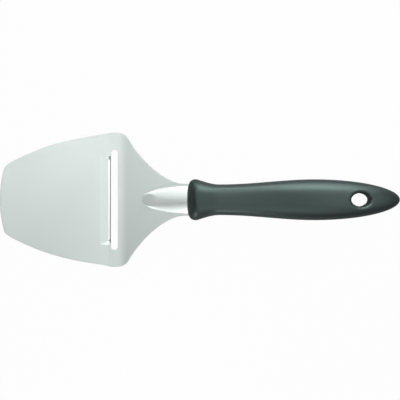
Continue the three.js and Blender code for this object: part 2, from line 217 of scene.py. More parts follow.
@dataclass(frozen=True)
class MouldedPlastic:
    """Polypropylene moulded in a spark-eroded tool: a fine even grain that spreads every highlight.

    In front of the grain's start the tool was left plain, so the skin is smooth and even there, and its
    colour is darkened there as painted shade.
    """

    name: str
    colour: str
    roughness: float = 0.38
    grain_mm: float = 0.5  # real grain is about 0.1 mm, drawn coarser so that it shows
    bump_mm: float = 0.006
    mottle: float = 0.06
    specular: float = 1.0
    sheen_tint: str = "#DCFFF5"
    # painted shade: the darker colour of the dome in front of the grain
    painted_shade_colour: str = "#121615"
    plain_roughness: float = 0.45
    grain_low: float = 0.3  # the grain's noise mostly stays between these two
    grain_high: float = 0.7
    rough_spread: float = 0.05
    grain_start_shade_end: float = -1000.0  # place along X where the grain starts and the painted shade ends, here in front of every piece
    grain_shade_ease: float = 2.4

    def material(self) -> bpy.types.Material:
        """Builds the plastic's node material.

        Returns:
            The material, under the finish's name.
        """
        material, tree = new_material(self.name)
        place = add_node(tree, "ShaderNodeTexCoord").outputs["Object"]
        grain = add_node(
            tree,
            "ShaderNodeTexNoise",
            {"Vector": place, "Scale": 1 / (self.grain_mm * MM), "Detail": 2.0, "Roughness": 0.55},
        )
        *tone, alpha = linear(self.colour)
        dark = (*[channel * (1 - self.mottle) for channel in tone], alpha)
        pale = (*[channel * (1 + self.mottle) for channel in tone], alpha)
        mottled = add_node(
            tree, "ShaderNodeMix", {0: grain.outputs[0], 6: dark, 7: pale}, data_type="RGBA"
        )
        grain_rough = add_node(
            tree,
            "ShaderNodeMapRange",
            {
                "Value": grain.outputs[0],
                1: self.grain_low,
                2: self.grain_high,
                3: self.roughness - self.rough_spread,
                4: self.roughness + self.rough_spread,
            },
        )
        along = add_node(tree, "ShaderNodeSeparateXYZ", {0: place})
        start = self.grain_start_shade_end * MM
        end = start + self.grain_shade_ease * MM
        grained_unshaded = add_node(
            tree, "ShaderNodeMapRange", {"Value": along.outputs["X"], 1: start, 2: end}
        ).outputs[0]
        # painted shade: the colour turns darker in front of the grain's start
        painted_shade_tint = add_node(
            tree,
            "ShaderNodeMix",
            {0: grained_unshaded, 6: linear(self.painted_shade_colour), 7: mottled.outputs[2]},
            data_type="RGBA",
        )
        rough = add_node(
            tree, "ShaderNodeMix", {0: grained_unshaded, 2: self.plain_roughness, 3: grain_rough.outputs[0]}
        )
        bump = add_node(
            tree,
            "ShaderNodeBump",
            {"Strength": grained_unshaded, "Distance": self.bump_mm * MM, "Height": grain.outputs[0]},
        )
        shader = add_node(
            tree,
            "ShaderNodeBsdfPrincipled",
            {
                "Base Color": painted_shade_tint.outputs[2],
                "Roughness": rough.outputs[0],
                "Specular IOR Level": self.specular,
                "Specular Tint": linear(self.sheen_tint),
                "Normal": bump.outputs[0],
            },
        )
        add_node(tree, "ShaderNodeOutputMaterial", {"Surface": shader.outputs[0]})
        return material


@dataclass(frozen=True)
class PaperFloor:
    """Seamless white paper: the lens sees it as plain white with a trace of shadow, the steel as pale."""

    colour: str = "#929292"
    lens_share: float = 0.98
    mirror_share: float = 0.08

    def material(self) -> bpy.types.Material:
        """Builds the floor's node material.

        Returns:
            The paper's material.
        """
        material, tree = new_material("studio_paper")
        path = add_node(tree, "ShaderNodeLightPath")
        lens = add_node(
            tree,
            "ShaderNodeMath",
            {0: path.outputs["Is Camera Ray"], 1: self.lens_share},
            operation="MULTIPLY",
        )
        bounced = add_node(
            tree,
            "ShaderNodeMath",
            {0: path.outputs["Is Glossy Ray"], 1: path.outputs["Is Transmission Ray"]},
            operation="MAXIMUM",
        )
        share = add_node(
            tree,
            "ShaderNodeMath",
            {0: bounced.outputs[0], 1: self.mirror_share, 2: lens.outputs[0]},
            operation="MULTIPLY_ADD",
        )
        paper = add_node(tree, "ShaderNodeBsdfDiffuse", {"Color": linear(self.colour)})
        white = add_node(tree, "ShaderNodeEmission", {"Strength": 1.0})
        mixed = add_node(
            tree, "ShaderNodeMixShader", {0: share.outputs[0], 1: paper.outputs[0], 2: white.outputs[0]}
        )
        add_node(tree, "ShaderNodeOutputMaterial", {"Surface": mixed.outputs[0]})
        return material


def finish_mesh(shape: bmesh.types.BMesh, name: str, sharp_deg: float) -> bpy.types.Object:
    """Scales a finished shape to metres and makes a smooth-shaded object of it at the origin.

    Args:
        shape: Finished shape in millimetres; it is freed.
        name: Name of the object.
        sharp_deg: Edges that turn more than this stay sharp.

    Returns:
        The linked object.
    """
    bmesh.ops.scale(shape, vec=(MM, MM, MM), verts=shape.verts)
    for face in shape.faces:
        face.smooth = True
    mesh = bpy.data.meshes.new(name)
    shape.to_mesh(mesh)
    shape.free()
    mesh.set_sharp_from_angle(angle=math.radians(sharp_deg))
    piece = bpy.data.objects.new(name, mesh)
    bpy.context.scene.collection.objects.link(piece)
    return piece


def extrude_loop(
    shape: bmesh.types.BMesh, edges: list[bmesh.types.BMEdge]
) -> tuple[list[bmesh.types.BMEdge], dict[bmesh.types.BMVert, bmesh.types.BMVert]]:
    """Extrudes a loop of edges in place.

    Args:
        shape: Shape that holds the loop.
        edges: The loop's edges.

    Returns:
        The new loop's edges, and each old vertex with the new one that was drawn from it.
    """
    old = {vert for edge in edges for vert in edge.verts}
    made = bmesh.ops.extrude_edge_only(shape, edges=edges)["geom"]
    fresh = {item for item in made if isinstance(item, bmesh.types.BMVert)}
    pairs = {}
    for vert in fresh:
        for edge in vert.link_edges:
            other = edge.other_vert(vert)
            if other in old:
                pairs[other] = vert
    loop = [
        item
        for item in made
        if isinstance(item, bmesh.types.BMEdge) and all(vert in fresh for vert in item.verts)
    ]
    return loop, pairs


def smooth_step(value: float, low: float, high: float) -> float:
    """Eases from 0 at low to 1 at high, level at both ends."""
    s = min(1.0, max(0.0, (value - low) / (high - low)))
    return s * s * (3 - 2 * s)


def smooth_max(a: float, b: float, blend: float) -> float:
    """The larger of two heights, with a fillet of about the blend's size where they meet."""
    h = max(blend - abs(a - b), 0.0) / blend
    return max(a, b) + h * h * blend / 4


def read_line(points: list[Vector], x: float) -> float:
    """Reads a line of points, in rising x, at a place between them.

    Args:
        points: Points of the line.
        x: Place to read it.

    Returns:
        The line's y there.
    """
    for first, second in zip(points, points[1:]):
        if x <= second.x:
            share = (x - first.x) / max(second.x - first.x, TINY)
            return first.y + (second.y - first.y) * share
    return points[-1].y


def spread(low: float, high: float, step: float) -> list[float]:
    """Sets out places from low up to high, without high itself, about a step apart.

    Args:
        low: First place.
        high: Place before which they end.
        step: Distance wanted between two of them.

    Returns:
        The places, rising.
    """
    count = max(1, round((high - low) / step))
    return [low + (high - low) * i / count for i in range(count)]


@dataclass(frozen=True)
class Girth:
    """Widths or heights of the handle along its run.

    The collar, waist and swell are full sizes, the swell's run is its place, and the powers round the dome
    and the end.
    """

    dome_power: float
    collar: float
    waist: float
    swell: float
    swell_run: float
    end_power: float


@dataclass
class Grip:
    """Outer moulding of the handle: domed collar, waist, swell and a drooping end with a hang hole."""

    length: float = 127.5
    dome: float = 5.7
    front_cap: float = 0.0855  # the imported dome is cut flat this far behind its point
    waist_start: float = 18.9
    waist_end: float = 20.5
    flare_ease: float = 0.75
    section_power: float = 2.7
    droop: float = 16.0
    width: Girth = Girth(
        dome_power=3.1, collar=24.4, waist=18.3, swell=24.4, swell_run=76.0, end_power=2.0
    )
    height: Girth = Girth(
        dome_power=1.5, collar=21.0, waist=16.8, swell=18.8, swell_run=64.0, end_power=1.7
    )
    hole_run: float = 102.8
    hole_length: float = 12.2
    hole_width: float = 8.0
    hole_rim: float = 2.2
    ring_points: int = 96
    patch_columns: int = 9
    patch_before: float = 11.0
    patch_after: float = 10.5
    patch_steps: int = 5
    rim_steps: int = 8
    seat_rounds: int = 6  # rounds that find the skin's height along the leaning hole
    dome_depths: tuple[float, ...] = (  # shares of the dome's depth at which its sections stand
        0.997, 0.985, 0.96, 0.92, 0.86, 0.78, 0.7, 0.6, 0.5,
        0.4, 0.3, 0.22, 0.15, 0.1, 0.06, 0.03, 0.01,
    )
    flare_step: float = 0.9
    flare_sections: int = 16
    body_step: float = 1.6
    end_turn_deg: int = 2
    end_last_deg: int = 88
    end_gap: float = 0.02
    grain_shade_lead: float = 0.4  # the grain starts and the painted shade ends this far in front of the collar's crest
    front_x: float = field(init=False)
    axis_z: float = field(init=False)

    def __post_init__(self) -> None:
        """Takes the handle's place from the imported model."""
        low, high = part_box(Node.GRIP.value)
        self.front_x = low.x / MM - self.front_cap
        self.axis_z = high.z / MM - self.height.collar / 2 + self.fall(self.dome)

    def fall(self, run: float) -> float:
        """Fall of the centreline at a run from the handle's front."""
        return self.droop * (run / self.length) ** 2

    def half(self, run: float, girth: Girth) -> float:
        """Half a width or height of the handle.

        Args:
            run: Distance from the handle's front.
            girth: The widths or the heights.

        Returns:
            Half the size there.
        """
        collar, waist, swell = girth.collar / 2, girth.waist / 2, girth.swell / 2
        if run < self.dome:
            depth = (self.dome - run) / self.dome
            return collar * (1 - depth**girth.dome_power) ** (1 / girth.dome_power)
        if run < self.waist_start:
            s = (run - self.dome) / (self.waist_start - self.dome)
            return waist + (collar - waist) * (1 - s) ** 2 * (1 + self.flare_ease * s)
        if run < girth.swell_run:
            return waist + (swell - waist) * smooth_step(run, self.waist_end, girth.swell_run)
        s = min(1.0, (run - girth.swell_run) / (self.length - girth.swell_run))
        return swell * math.sqrt(1 - s**girth.end_power)

    def ring_point(self, run: float, step: int) -> Vector:
        """One point of the flattened oval section.

        Args:
            run: Distance from the handle's front.
            step: Number of the point, anticlockwise from +Y.

        Returns:
            The point in millimetres.
        """
        turn = 2 * math.pi * step / self.ring_points
        across, up = math.cos(turn), math.sin(turn)
        power = 2 / self.section_power
        y = math.copysign(abs(across) ** power, across) * self.half(run, self.width)
        z = math.copysign(abs(up) ** power, up) * self.half(run, self.height)
        return Vector((self.front_x + run, y, self.axis_z - self.fall(run) + z))

    def skin_height(self, x: float, y: float, side: int) -> float:
        """Height of the moulding's skin over a place in plan.

        Args:
            x: Place along the handle.
            y: Place across it.
            side: 1 for the top skin and -1 for the underside.

        Returns:
            Height above the table.
        """
        run = x - self.front_x
        share = min(1.0, abs(y) / self.half(run, self.width))
        rise = (1 - share**self.section_power) ** (1 / self.section_power) * self.half(run, self.height)
        return self.axis_z - self.fall(run) + side * rise

    def runs(self) -> list[float]:
        """Sets out the sections, closest on the dome, the flare and the rounded end.

        Returns:
            Their distances from the handle's front, rising.
        """
        runs = [self.dome * (1 - depth) for depth in self.dome_depths]
        runs += [self.dome + self.flare_step * number for number in range(self.flare_sections)]
        while runs[-1] + self.body_step < self.width.swell_run:
            runs.append(runs[-1] + self.body_step)
        end_run = self.length - self.width.swell_run
        for turn in range(0, self.end_last_deg, self.end_turn_deg):
            runs.append(self.width.swell_run + end_run * math.sin(math.radians(turn)))
        runs.append(self.length - self.end_gap)
        return runs

    def build(self) -> bpy.types.Object:
        """Lofts the moulding from its front to its end and cuts the hang hole.

        Returns:
            The moulding's object.
        """
        shape = bmesh.new()
        made = bmesh.ops.create_circle(shape, cap_ends=False, segments=self.ring_points, radius=1.0)
        ring = sorted(made["verts"], key=lambda vert: math.atan2(vert.co.y, vert.co.x) % (2 * math.pi))
        edges = list({edge for vert in ring for edge in vert.link_edges})
        bmesh.ops.contextual_create(shape, geom=edges)
        for number, run in enumerate(self.runs()):
            if number:
                edges, pairs = extrude_loop(shape, edges)
                ring = [pairs[vert] for vert in ring]
            for step, vert in enumerate(ring):
                vert.co = self.ring_point(run, step)
        bmesh.ops.contextual_create(shape, geom=edges)
        self.cut_hole(shape)
        bmesh.ops.recalc_face_normals(shape, faces=shape.faces)
        return finish_mesh(shape, "moulded_grip", SMOOTH_DEG)

    def cut_hole(self, shape: bmesh.types.BMesh) -> None:
        """Opens a patch above and below, draws both rims into the throat and joins them.

        Args:
            shape: The lofted moulding, in millimetres.
        """
        middle_x = self.front_x + self.hole_run
        window = (middle_x - self.patch_before, middle_x + self.patch_after)
        loops = []
        for side in (1, -1):
            patch = []
            for face in shape.faces:
                centre = face.calc_center_median()
                run = centre.x - self.front_x
                limit = self.ring_point(run, self.ring_points // 4 - self.patch_columns).y
                above = (centre.z - self.axis_z + self.fall(run)) * side > 0
                if window[0] < centre.x < window[1] and abs(centre.y) < limit and above:
                    patch.append(face)
            border = [
                edge
                for edge in {edge for face in patch for edge in face.edges}
                if sum(face in patch for face in edge.link_faces) == 1
            ]
            bmesh.ops.delete(shape, geom=patch, context="FACES")
            border = [edge for edge in border if edge.is_valid]
            loops.append(self.draw_rim(shape, border, side))
        bmesh.ops.bridge_loops(shape, edges=loops[0] + loops[1])

    def draw_rim(
        self, shape: bmesh.types.BMesh, loop: list[bmesh.types.BMEdge], side: int
    ) -> list[bmesh.types.BMEdge]:
        """Draws a patch's border over the skin to the hole, round its rim and into the throat.

        Args:
            shape: The moulding.
            loop: Edges round the open patch.
            side: 1 for the top and -1 for the underside.

        Returns:
            The loop's edges at the bottom of the rim.
        """
        tilt = math.atan(2 * self.droop * self.hole_run / self.length**2)
        middle = Vector((self.front_x + self.hole_run, 0, self.axis_z - self.fall(self.hole_run)))
        forward = Vector((math.cos(tilt), 0, -math.sin(tilt)))
        up = Vector((math.sin(tilt), 0, math.cos(tilt)))
        half_length = self.hole_length / 2
        half_width = self.hole_width / 2
        starts = {}
        for vert in {vert for edge in loop for vert in edge.verts}:
            along = (vert.co - middle).dot(forward)
            turn = math.atan2(vert.co.y / half_width, along / half_length)
            starts[vert] = (along, vert.co.y, turn)
        stages = [(step / self.patch_steps, 0.0) for step in range(1, self.patch_steps + 1)]
        stages += [(1.0, math.pi / 2 * step / self.rim_steps) for step in range(1, self.rim_steps + 1)]
        for share, bend in stages:
            loop, pairs = extrude_loop(shape, loop)
            moved = {}
            for old, vert in pairs.items():
                along, y, turn = starts[old]
                flare = self.hole_rim * (1 - math.sin(bend))
                a = along + ((half_length + flare) * math.cos(turn) - along) * share
                b = y + ((half_width + flare) * math.sin(turn) - y) * share
                height = 0.0
                for _ in range(self.seat_rounds):
                    x = middle.x + a * forward.x + height * up.x
                    skin = self.skin_height(x, b, side)
                    height = (skin - middle.z - a * forward.z) / up.z
                height -= side * self.hole_rim * (1 - math.cos(bend))
                vert.co = middle + forward * a + up * height
                vert.co.y = b
                moved[vert] = starts[old]
            starts = moved
        return loop

    def dress(self, piece: bpy.types.Object, finish: MouldedPlastic) -> None:
        """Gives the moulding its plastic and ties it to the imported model.

        Args:
            piece: The finished moulding.
            finish: Its plastic.
        """
        piece.data.materials.append(finish.material())
        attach(piece, "root")
        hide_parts(Node.GRIP.value)


@dataclass
class Blade:
    """Pressed sheet: plate, lanced lip, slot, bend, shoulders, ribbed neck and the tang inside the grip."""

    sheet: float = 1.2
    plate_run: float = 64.8
    crease_run: float = 0.6
    land_run: float = 5.4
    land_slope: float = 0.07
    bend_run: float = 5.4
    shoulder_run: float = 36.0
    tang_rise_run: float = 10.0
    tang_bend_run: float = 12.0
    tang_slope: float = -0.06
    neck_drop: float = 5.0
    tip_radius: float = 72.0
    tip_edge_width: float = 37.2
    tip_width: float = 45.8
    tip_corner_run: float = 4.8
    tip_corner_bulge: float = 2.1
    width: float = 80.4
    side_slope_front: float = 0.514
    side_slope_back: float = 0.235
    side_ease_front: float = 28.0
    side_ease_back: float = 13.6
    corner_lead: float = 3.8
    corner_bulge: float = 0.4
    corner_turn: float = 3.3
    shoulder_width: float = 74.6
    sweep_fall_run: float = 9.2
    sweep_fall_drop: float = 16.0
    sweep_ease: float = 10.0
    neck_width: float = 19.1
    neck_straight: float = 1.8
    slot_width: float = 4.2
    slot_length: float = 60.0
    slot_corner: float = 1.9
    slot_setback: float = 0.2
    lip_length: float = 6.4
    lip_drop: float = 1.8
    lip_root_width: float = 54.0
    lip_edge_width: float = 48.0
    grind_width: float = 1.5
    grind_depth: float = 0.2
    edge_width: float = 0.5
    edge_left: float = 0.03
    runout_width: float = 1.5
    runout_reach: float = 2.6
    runout_start: float = 0.02  # share of the reach at which the run-out starts
    rib_length: float = 27.6
    rib_width: float = 16.6
    rib_height: float = 3.5
    rib_ramp: float = 8.8
    rib_ramp_height: float = 1.5
    rib_fade: float = 11.0
    rib_nose_power: float = 4.0
    rib_power: float = 2.1
    rib_round_run: float = 16.0
    rib_fillet: float = 0.3
    rib_ramp_round: float = 0.15
    tang_width: float = 9.0
    tang_shoulder_run: float = 3.0
    tang_taper_run: float = 12.0
    rim_round: float = 0.1
    rim_deg: float = 65.0  # rims that turn more than this are broken
    edge_keep: float = 0.7  # rims this close to the cutting edge stay sharp
    edge_margin: float = 0.2  # the grind takes in vertices this far past the cutting edge
    side_margin: float = 0.05  # and this far past its ends
    sharp_deg: float = 24.0  # edges that turn more than this stay sharp
    map_lean: float = 0.25  # share of the height that leans the brush map, so that upright rims get one
    tip_shares: tuple[float, ...] = (0.0, 0.04, 0.1, 0.18, 0.28, 0.4, 0.55, 0.7, 0.85)
    tip_rows_run: float = 14.0
    column_ease: float = 8.0
    knee_margin: float = 1.0
    plate_step: float = 2.5
    lip_step: float = 0.45
    bend_step: float = 0.4
    shoulder_step: float = 0.9
    rib_step: float = 0.4
    rib_lead: float = 1.0
    tang_step: float = 1.5
    tang_end_turns: tuple[int, ...] = (0, 20, 40, 55, 68, 78, 85)
    lip_columns: int = 24
    gusset_columns: int = 16
    gusset_margin: float = 0.5
    margin_columns: int = 10
    curve_steps: int = 24
    side_steps: int = 48
    corner_steps: int = 4
    tip_x: float = field(init=False)
    tang_end_x: float = field(init=False)
    handle_x: float = field(init=False)
    neck_z: float = field(init=False)
    crease_x: float = field(init=False)
    bend_x: float = field(init=False)
    bend_end_x: float = field(init=False)
    slot_back_x: float = field(init=False)
    edge_x: float = field(init=False)
    hinge_x: float = field(init=False)
    grind_x: float = field(init=False)
    steep_x: float = field(init=False)
    side_x: float = field(init=False)
    outline: list[Vector] = field(init=False)
    tip_line: list[Vector] = field(init=False)
    stations: list[tuple[float, float]] = field(init=False)

    def place_on(self, grip: Grip) -> None:
        """Takes the blade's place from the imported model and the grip.

        Args:
            grip: The moulding that holds the blade.
        """
        low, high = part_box(Node.BLADE.value)
        self.tip_x = low.x / MM
        self.tang_end_x = high.x / MM
        self.handle_x = grip.front_x
        self.neck_z = grip.axis_z - self.neck_drop
        self.crease_x = self.tip_x + self.plate_run
        self.bend_x = self.crease_x + self.crease_run + self.land_run
        self.bend_end_x = self.bend_x + self.bend_run
        self.slot_back_x = self.bend_x - self.slot_setback
        self.edge_x = self.slot_back_x - self.slot_width
        self.hinge_x = self.edge_x - self.lip_length
        self.grind_x = self.edge_x - self.grind_width
        self.steep_x = self.edge_x - self.edge_width
        self.stations = self.slope_stations()
        self.tip_line = self.tip_curve()
        self.side_x = self.tip_line[-1].x
        self.outline = self.side_curve()

    def slope_stations(self) -> list[tuple[float, float]]:
        """Sets out the sheet's bends: its slope changes evenly from one station to the next.

        Returns:
            Places along X with the slope at each.
        """
        land_rise = (self.crease_run / 2 + self.land_run) * self.land_slope
        climb = self.neck_z - self.lip_drop - land_rise - self.bend_run * self.land_slope / 2
        shoulder = climb / (self.shoulder_run + self.bend_run / 2)
        tang_x = self.handle_x + self.tang_rise_run
        return [
            (self.tip_x, 0.0),
            (self.crease_x, 0.0),
            (self.crease_x + self.crease_run, self.land_slope),
            (self.bend_x, self.land_slope),
            (self.bend_end_x, shoulder),
            (tang_x, shoulder),
            (tang_x + self.tang_bend_run, self.tang_slope),
            (self.tang_end_x, self.tang_slope),
        ]

    def tip_curve(self) -> list[Vector]:
        """Draws half of the front edge, from its middle round the tip's corner to the start of the side.

        Returns:
            Points of the line in plan.
        """
        edge = self.tip_edge_width / 2
        turn = math.asin(edge / self.tip_radius)
        line = []
        for step in range(self.curve_steps + 1):
            angle = turn * step / self.curve_steps
            x = self.tip_x + self.tip_radius * (1 - math.cos(angle))
            line.append(Vector((x, self.tip_radius * math.sin(angle))))
        start = line[-1]
        control = start + Vector((math.tan(turn), 1)) * self.tip_corner_bulge
        end = Vector((start.x + self.tip_corner_run, self.tip_width / 2))
        return line + self.corner(start, control, end)[1:]

    def corner(self, start: Vector, control: Vector, end: Vector) -> list[Vector]:
        """Draws a rounded corner with one control point.

        Args:
            start: Where the corner starts.
            control: Point that it is drawn towards.
            end: Where it ends.

        Returns:
            Points of the corner in plan.
        """
        first = start + (control - start) * 2 / 3
        second = end + (control - end) * 2 / 3
        points = interpolate_bezier(start, first, second, end, self.curve_steps)
        return [point.to_2d() for point in points]

    def side_curve(self) -> list[Vector]:
        """Draws the half outline from the tip's corner along the side, the shoulder and the neck to the tang.

        Returns:
            Points of the outline in plan, in rising x.
        """
        start = self.tip_line[-1]
        wide = Vector((self.bend_x - self.corner_lead, self.width / 2))
        shoulder = Vector((self.bend_end_x, self.shoulder_width / 2))
        neck = Vector((self.handle_x - self.neck_straight, self.neck_width / 2))
        first = start + Vector((1, self.side_slope_front)) * self.side_ease_front
        second = wide - Vector((1, self.side_slope_back)) * self.side_ease_back
        side = interpolate_bezier(start, first, second, wide, self.side_steps)
        line = [point.to_2d() for point in side]
        control = Vector((self.bend_x + self.corner_turn, wide.y + self.corner_bulge))
        line += self.corner(wide, control, shoulder)[1:]
        first = shoulder + Vector((self.sweep_fall_run, -self.sweep_fall_drop))
        second = neck - Vector((self.sweep_ease, 0))
        sweep = interpolate_bezier(shoulder, first, second, neck, self.side_steps)
        line += [point.to_2d() for point in sweep[1:]]
        taper_x = self.handle_x + self.tang_shoulder_run
        line.append(Vector((taper_x, neck.y)))
        line.append(Vector((taper_x + self.tang_taper_run, self.tang_width / 2)))
        line += [Vector(place) for place in self.tang_end()]
        return line

    def tang_end(self) -> list[tuple[float, float]]:
        """Draws half of the tang's round end.

        Returns:
            Places in plan, from its side nearly to the middle line.
        """
        radius = self.tang_width / 2
        places = []
        for turn in self.tang_end_turns:
            angle = math.radians(turn)
            places.append((self.tang_end_x - radius * (1 - math.sin(angle)), radius * math.cos(angle)))
        return places

    def underside(self, x: float) -> tuple[float, float]:
        """Height and slope of the bent sheet's underside.

        Args:
            x: Place along the blade.

        Returns:
            Height above the table, and rise per millimetre.
        """
        height = self.lip_drop
        for (x0, slope0), (x1, slope1) in zip(self.stations, self.stations[1:]):
            reach = min(x, x1) - x0
            slope = slope0 + (slope1 - slope0) * reach / (x1 - x0)
            height += (slope0 + slope) / 2 * reach
            if x <= x1:
                return height, slope
        return height, self.stations[-1][1]

    def rib(self, x: float, y: float) -> float:
        """Works out the rise of the pressed rib above the sheet.

        Args:
            x: Place along the blade.
            y: Place across it.

        Returns:
            The rise, which is 0 away from the rib.
        """
        run = x - (self.handle_x - self.rib_length)
        if run <= 0 or x >= self.handle_x + self.rib_fade:
            return 0.0
        rest = (run - self.rib_ramp) / (self.rib_length - self.rib_ramp)
        crown = self.rib_ramp_height + (self.rib_height - self.rib_ramp_height) * max(0.0, rest)
        ramp = self.rib_ramp_height * run / self.rib_ramp
        if x < self.handle_x:
            girth = math.sqrt(1 - (1 - run / self.rib_length) ** 2)
        else:
            girth = math.sqrt(1 - ((x - self.handle_x) / self.rib_fade) ** 2)
            crown = self.rib_height * girth
        share = abs(y) / max(girth * self.rib_width / 2, TINY)
        round_off = smooth_step(run, 0.0, self.rib_round_run)
        power = self.rib_nose_power + (self.rib_power - self.rib_nose_power) * round_off
        arch = crown * (1 - share**power)
        if run < self.rib_ramp:
            arch = -smooth_max(-arch, -ramp, self.rib_ramp_round)
        return smooth_max(arch, 0.0, min(self.rib_fillet, crown))

    def lip(self, x: float, y: float) -> float:
        """Works out the fall of the lanced lip, and of the gussets at its ends, below the sheet.

        Args:
            x: Place along the blade.
            y: Place across it.

        Returns:
            The fall, which is 0 away from the lip.
        """
        if not self.on_lip(x, y):
            return 0.0
        return self.lip_drop * min((x - self.hinge_x) / self.lip_length, self.gusset_share(y), 1.0)

    def gusset_share(self, y: float) -> float:
        """Share of the lip's drop that a gusset has reached: 0 at its root, 1 at the end of the edge."""
        root = self.lip_root_width / 2
        return (root - abs(y)) / (root - self.lip_edge_width / 2)

    def on_lip(self, x: float, y: float) -> bool:
        """Tells whether a place in plan is on the lip or its gussets."""
        return self.hinge_x <= x <= self.edge_x + NEAR and self.gusset_share(y) > 0

    def top(self, x: float, y: float) -> float:
        """Works out the height of the blade's top face.

        Args:
            x: Place along the blade.
            y: Place across it.

        Returns:
            Height above the table.
        """
        height, slope = self.underside(x)
        pressed = height + self.sheet * math.sqrt(1 + slope * slope)
        if self.on_lip(x, y):
            pressed = self.lip_drop + self.sheet
        return pressed + self.rib(x, y) - self.lip(x, y)

    def on_top(self, place: Vector) -> bool:
        """Tells whether a vertex of the thick sheet belongs to its top face."""
        return abs(place.z - self.top(min(place.x, self.edge_x), place.y)) <= self.sheet / 2

    def columns(self) -> list[float]:
        """Sets out the sheet's columns at the slot, from one rim to the other.

        Returns:
            Their distances from the middle line.
        """
        fine_start = self.lip_edge_width / 2 - self.gusset_margin
        fine_end = self.lip_root_width / 2 + self.gusset_margin
        fine = fine_end - fine_start
        half = [fine_start * i / self.lip_columns for i in range(self.lip_columns)]
        half += [fine_start + fine * i / self.gusset_columns for i in range(self.gusset_columns)]
        end = self.slot_length / 2
        for step in range(self.corner_steps + 1):
            turn = math.pi / 2 * step / self.corner_steps
            half.append(end - self.slot_corner * (1 - math.sin(turn)))
        margin = self.width / 2 - end
        half += [end + margin * i / self.margin_columns for i in range(1, self.margin_columns + 1)]
        return [-y for y in reversed(half[1:])] + half

    def slot_rows(self) -> list[float]:
        """Sets out the rows across the slot, at the points of its rounded corners.

        Returns:
            Their places along X, rising.
        """
        offsets = []
        for step in range(self.corner_steps + 1):
            offsets.append(self.slot_corner * (1 - math.cos(math.pi / 2 * step / self.corner_steps)))
        front = [self.edge_x + offset for offset in offsets]
        back = [self.slot_back_x - offset for offset in reversed(offsets)]
        return front + back

    def rows(self) -> list[float]:
        """Sets out the sheet's rows behind the tip, close together on the lip, the bend and the rib.

        Returns:
            Their places along X, rising.
        """
        hinge_start = self.hinge_x - self.crease_run / 2
        rib_start = self.handle_x - self.rib_length - self.rib_lead
        rib_end = self.handle_x + self.rib_fade
        rows = spread(self.side_x + self.tip_rows_run, hinge_start, self.plate_step)
        rows.append(hinge_start)
        rows += spread(self.hinge_x, self.grind_x, self.lip_step)
        rows += sorted([self.grind_x, self.crease_x, self.crease_x + self.crease_run, self.steep_x])
        rows += self.slot_rows()
        rows += spread(self.bend_x, self.bend_end_x, self.bend_step)
        rows += spread(self.bend_end_x, rib_start, self.shoulder_step)
        rows += spread(rib_start, rib_end, self.rib_step)
        rows += spread(rib_end, self.tang_end_x - self.tang_width / 2, self.tang_step)
        rows += [x for x, _ in self.tang_end()]
        return rows

    def column_y(self, x: float, y: float) -> float:
        """Where a column runs at a row: straight along the slot, and spread to the outline elsewhere.

        Args:
            x: Place of the row.
            y: The column's distance from the middle line at the slot.

        Returns:
            Its distance there.
        """
        wide = self.width / 2
        rim = read_line(self.outline, x)
        before = smooth_step(x, self.hinge_x, self.hinge_x - self.column_ease)
        behind = smooth_step(x, self.slot_back_x, self.bend_end_x)
        inner = wide + (rim - wide) * max(before, behind)
        knee = self.slot_length / 2 + self.knee_margin
        if abs(y) <= knee:
            return y * inner / wide
        knee_y = knee * inner / wide
        return math.copysign(knee_y + (abs(y) - knee) / (wide - knee) * (rim - knee_y), y)

    def tip_point(self, share: float) -> Vector:
        """Finds a point of the front edge.

        Args:
            share: Share of the way along it, from its middle to the side.

        Returns:
            The point in plan.
        """
        lengths = [0.0]
        for first, second in zip(self.tip_line, self.tip_line[1:]):
            lengths.append(lengths[-1] + (second - first).length)
        target = share * lengths[-1]
        for i in range(len(lengths) - 1):
            if target <= lengths[i + 1] + TINY:
                part = (target - lengths[i]) / (lengths[i + 1] - lengths[i])
                return self.tip_line[i].lerp(self.tip_line[i + 1], part)
        return self.tip_line[-1]

    def tip_place(self, share: float, y: float, back_x: float) -> tuple[float, float]:
        """Place on the tip's rows, which bow forward to the front edge.

        Args:
            share: 0 at the front edge, 1 at the first straight row.
            y: The column's distance from the middle line at the slot.
            back_x: Place of the first straight row.

        Returns:
            The place in plan.
        """
        across = abs(y) / (self.width / 2)
        edge = self.tip_point(across)
        back_y = abs(self.column_y(back_x, y))
        side_x = self.side_x + (back_x - self.side_x) * share
        side_chord = self.tip_line[-1].y + (read_line(self.outline, back_x) - self.tip_line[-1].y) * share
        swell = (read_line(self.outline, side_x) - side_chord) * across
        x = edge.x + (back_x - edge.x) * share
        return x, math.copysign(edge.y + (back_y - edge.y) * share + swell, y)

    def build(self) -> bpy.types.Object:
        """Spreads a grid over the pressed blank, cuts the slot and gives the sheet its thickness.

        Returns:
            The blade's object.
        """
        rows = self.rows()
        columns = self.columns()
        lead = len(self.tip_shares)
        count = lead + len(rows)
        shape = bmesh.new()
        bmesh.ops.create_grid(shape, x_segments=count - 1, y_segments=len(columns) - 1, size=1.0)
        nodes = {}
        for vert in shape.verts:
            i = round((vert.co.x + 1) / 2 * (count - 1))
            j = round((vert.co.y + 1) / 2 * (len(columns) - 1))
            nodes[i, j] = vert
        for (i, j), vert in nodes.items():
            if i < lead:
                x, y = self.tip_place(self.tip_shares[i], columns[j], rows[0])
            else:
                x = rows[i - lead]
                y = self.column_y(x, columns[j])
            vert.co = (x, y, self.top(x, y))
        self.cut_slot(shape, nodes, lead, rows, columns)
        self.thicken(shape)
        self.mark_finishes(shape)
        self.round_rims(shape)
        self.map_brushing(shape)
        return finish_mesh(shape, "pressed_blade", self.sharp_deg)

